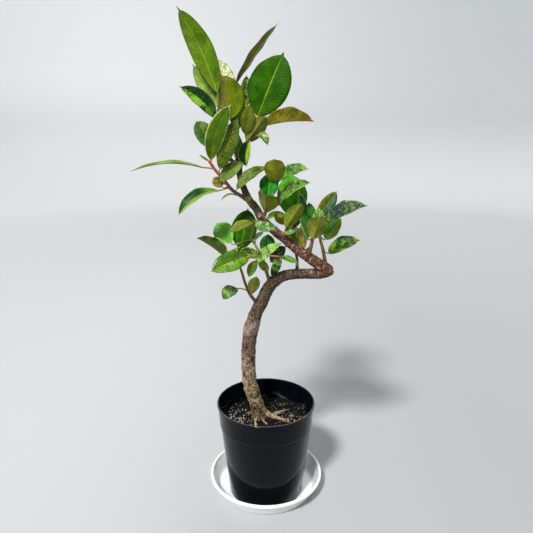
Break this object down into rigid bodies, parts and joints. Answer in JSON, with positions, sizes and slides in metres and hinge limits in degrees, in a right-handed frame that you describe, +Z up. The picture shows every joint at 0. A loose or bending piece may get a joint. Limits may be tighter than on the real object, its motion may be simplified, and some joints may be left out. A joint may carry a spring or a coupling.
{
  "type": "potted variegated rubber ficus bonsai",
  "caption": "Variegated rubber-leaf ficus with a bent bonsai trunk and leafy side branches, growing in a black nursery pot on a white saucer.",
  "frame": {"origin": "on the saucer's underside, on the axis of the pot, which stands 18 mm in front of the saucer's own", "axes": "+Z up along the pot's axis, -Y to the front of the plant, +X to the right as seen from the front"},
  "size_m": [0.5156, 0.297, 1.1699],
  "materials": {
    "saucer_plastic": "satin white",
    "pot_plastic": "glossy black",
    "potting_soil": "loose dark mix with pale specks",
    "bark": "rough, ringed with leaf scars",
    "leaf": "smooth, glossy above and matt below"
  },
  "bodies": {
    "root": {"saucer": "saucer_plastic", "pot": "pot_plastic", "soil": "potting_soil", "trunk": "bark", "crown_left": "leaf", "crown_middle": "leaf", "crown_right": "leaf", "left_branch": "leaf", "upper_right_branch": "leaf", "middle_right_branch": "leaf", "right_branch": "leaf", "elbow_branch": "leaf", "left_middle_branch": "leaf", "left_low_branch": "leaf", "trunk_leaf": "leaf", "back_branch": "leaf"}
  },
  "joints": []
}
